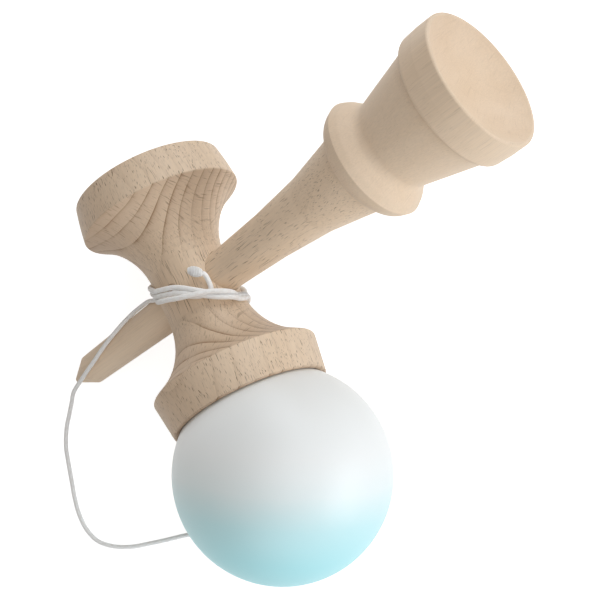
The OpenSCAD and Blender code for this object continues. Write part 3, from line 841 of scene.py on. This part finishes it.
class TOY_OT_cord_end(bpy.types.Operator):
    """Leads the cord through the ball to its bead and stops it there with a knot"""

    bl_idname = "toy.cord_end"
    bl_label = "Cord end"

    def execute(self, context):
        look = context.scene.toy_cord
        cord_r = look.diameter / MM / 2
        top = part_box("bead_knot")
        knot_centre = (Vector(top[0]) + Vector(top[1])) / 2 / MM
        knot_foot = BALL_CENTRE + HOLE_WAY * (knot_centre - BALL_CENTRE).dot(HOLE_WAY)
        half_knot, steps = 1.6, 60
        run = (knot_foot - EYE_START).length - half_knot
        line = [EYE_START + HOLE_WAY * run * i / steps for i in range(steps + 1)]
        line += stopper_knot(line[-1], HOLE_WAY, cord_r, length=2.6)
        piece = cord_mesh("string_in_ball", line, cord_r)
        piece.data.materials.append(bpy.data.materials["braided_cord"])
        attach(piece, "cord_end")
        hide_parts("cord_in_ball", "bead_knot")
        bead = frame["nodes"]["swivel_bead"]
        recoat(bead, beech(
            "beech_bead", context.scene.toy_beech, LIE, pith=(0, 40, -30), painted_shade_way=(0, 1, 0),
            rings=0.2, rays=0.4,
        ))
        return {"FINISHED"}


class TOY_OT_stage(bpy.types.Operator):
    """Sets the pale floor, the soft lamps, the white surround and the camera"""

    bl_idname = "toy.stage"
    bl_label = "Stage"

    def execute(self, context):
        look = context.scene.toy_stage
        bpy.ops.object.select_all(action="DESELECT")
        bpy.ops.mesh.primitive_plane_add(size=FLOOR_SIZE, location=(0, 0, 0))
        paper = context.active_object
        paper.name = "floor"
        paper.data.materials.append(studio_floor("studio_floor", look))
        context.scene.world = studio_surround("studio_surround", look)
        # Each lamp's power, and the way to it along the camera's axes
        lamps = (
            ("key", look.key, VIEW_RIGHT - VIEW_UP * 0.35 + VIEW_BACK * 0.3),
            ("top", look.top, VIEW_RIGHT * 0.1 + VIEW_UP + VIEW_BACK * 0.3),
            ("low", look.low, VIEW_BACK * 0.3 - VIEW_UP),
            ("front", look.front, VIEW_RIGHT * 0.1 + VIEW_UP * 0.1 + VIEW_BACK),
        )
        for name, power, way in lamps:
            bpy.ops.object.light_add(type="AREA", location=AIM + way.normalized() * LAMP_REACH)
            lamp = context.active_object
            lamp.name = name
            lamp.data.energy = power
            lamp.data.color = look.cool
            lamp.data.size = LAMP_SIZE
            lamp.rotation_euler = (-way).to_track_quat("-Z", "Y").to_euler()
        bpy.ops.object.camera_add(location=CAMERA_AT)
        camera = context.active_object
        camera.rotation_euler = Matrix((VIEW_RIGHT, VIEW_UP, VIEW_BACK)).transposed().to_euler()
        camera.data.lens = look.lens
        camera.data.sensor_width = 36
        camera.data.clip_start = 0.01
        context.scene.camera = camera
        context.scene.view_settings.view_transform = "Standard"
        return {"FINISHED"}


def seen_directly(tree):
    """1 where the camera sees a thing, also in a reflection, and 0 where the thing only gives light."""
    ray = add_node(tree, "ShaderNodeLightPath")
    straight = add_node(
        tree, "ShaderNodeMath",
        {0: ray.outputs["Is Camera Ray"], 1: ray.outputs["Is Glossy Ray"]}, operation="MAXIMUM",
    )
    return add_node(
        tree, "ShaderNodeMath",
        {0: straight.outputs[0], 1: ray.outputs["Is Transmission Ray"]}, operation="MAXIMUM",
    ).outputs[0]


def studio_floor(name, look):
    """Matt white paper. The camera sees it nearly white, and the toy's shadow stays on it."""
    material, tree = new_material(name)
    coords = add_node(tree, "ShaderNodeTexCoord")
    tooth = add_node(
        tree, "ShaderNodeTexNoise", {"Vector": coords.outputs["Object"], "Scale": 700, "Detail": 2}
    )
    tone = add_node(
        tree, "ShaderNodeMapRange", {"Value": tooth.outputs[0], "To Min": 0.985, "To Max": 1.0}
    )
    paper = add_node(
        tree, "ShaderNodeMix", {"Factor": 1.0, 6: rgba(look.floor), 7: tone.outputs[0]},
        data_type="RGBA", blend_type="MULTIPLY",
    )
    matt = add_node(tree, "ShaderNodeBsdfDiffuse", {"Color": paper.outputs[2]})
    bright = add_node(
        tree, "ShaderNodeMath", {0: seen_directly(tree), 1: look.glow}, operation="MULTIPLY"
    )
    glow = add_node(tree, "ShaderNodeEmission", {"Color": (1, 1, 1, 1), "Strength": bright.outputs[0]})
    both = add_node(tree, "ShaderNodeAddShader", {0: matt.outputs[0], 1: glow.outputs[0]})
    add_node(tree, "ShaderNodeOutputMaterial", {"Surface": both.outputs[0]})
    return material


def studio_surround(name, look):
    """White surround: pure white to the camera and in reflections, and plain soft light on the toy."""
    world = bpy.data.worlds.new(name)
    world.use_nodes = True
    tree = world.node_tree
    tree.nodes.clear()
    seen = seen_directly(tree)
    strength = add_node(
        tree, "ShaderNodeMapRange", {"Value": seen, "To Min": look.ambient, "To Max": 1.0}
    )
    tint = add_node(
        tree, "ShaderNodeMix", {"Factor": seen, 6: rgba(look.warm), 7: (1, 1, 1, 1)}, data_type="RGBA"
    )
    light = add_node(
        tree, "ShaderNodeBackground", {"Color": tint.outputs[2], "Strength": strength.outputs[0]}
    )
    add_node(tree, "ShaderNodeOutputWorld", {"Surface": light.outputs[0]})
    return world


LOOKS = {"toy_beech": BeechLook, "toy_ball": BallLook, "toy_cord": CordLook, "toy_stage": StageLook}
OPERATORS = (
    TOY_OT_stage, TOY_OT_wound_cord, TOY_OT_cord_end, TOY_OT_free_cord, TOY_OT_handle, TOY_OT_crossbar,
    TOY_OT_ball,
)


class TOY_PT_panel(bpy.types.Panel):
    """Lists the toy's pieces and their looks"""

    bl_idname = "TOY_PT_panel"
    bl_label = "Cup and ball toy"
    bl_space_type = "VIEW_3D"
    bl_region_type = "UI"
    bl_category = "Toy"

    def draw(self, context):
        for operator in OPERATORS:
            self.layout.operator(operator.bl_idname)
        for group, kind in LOOKS.items():
            settings = getattr(context.scene, group)
            for key in kind.__annotations__:
                self.layout.prop(settings, key)


def register():
    for kind in (*LOOKS.values(), *OPERATORS, TOY_PT_panel):
        bpy.utils.register_class(kind)
    for group, kind in LOOKS.items():
        setattr(bpy.types.Scene, group, bpy.props.PointerProperty(type=kind))


def unregister():
    for group in LOOKS:
        delattr(bpy.types.Scene, group)
    for kind in reversed((*LOOKS.values(), *OPERATORS, TOY_PT_panel)):
        bpy.utils.unregister_class(kind)


def main():
    register()
    bpy.ops.toy.stage()
    bpy.ops.toy.wound_cord()
    bpy.ops.toy.cord_end()
    bpy.ops.toy.free_cord()
    bpy.ops.toy.handle()
    bpy.ops.toy.crossbar()
    bpy.ops.toy.ball()


if __name__ == "__main__":
    main()
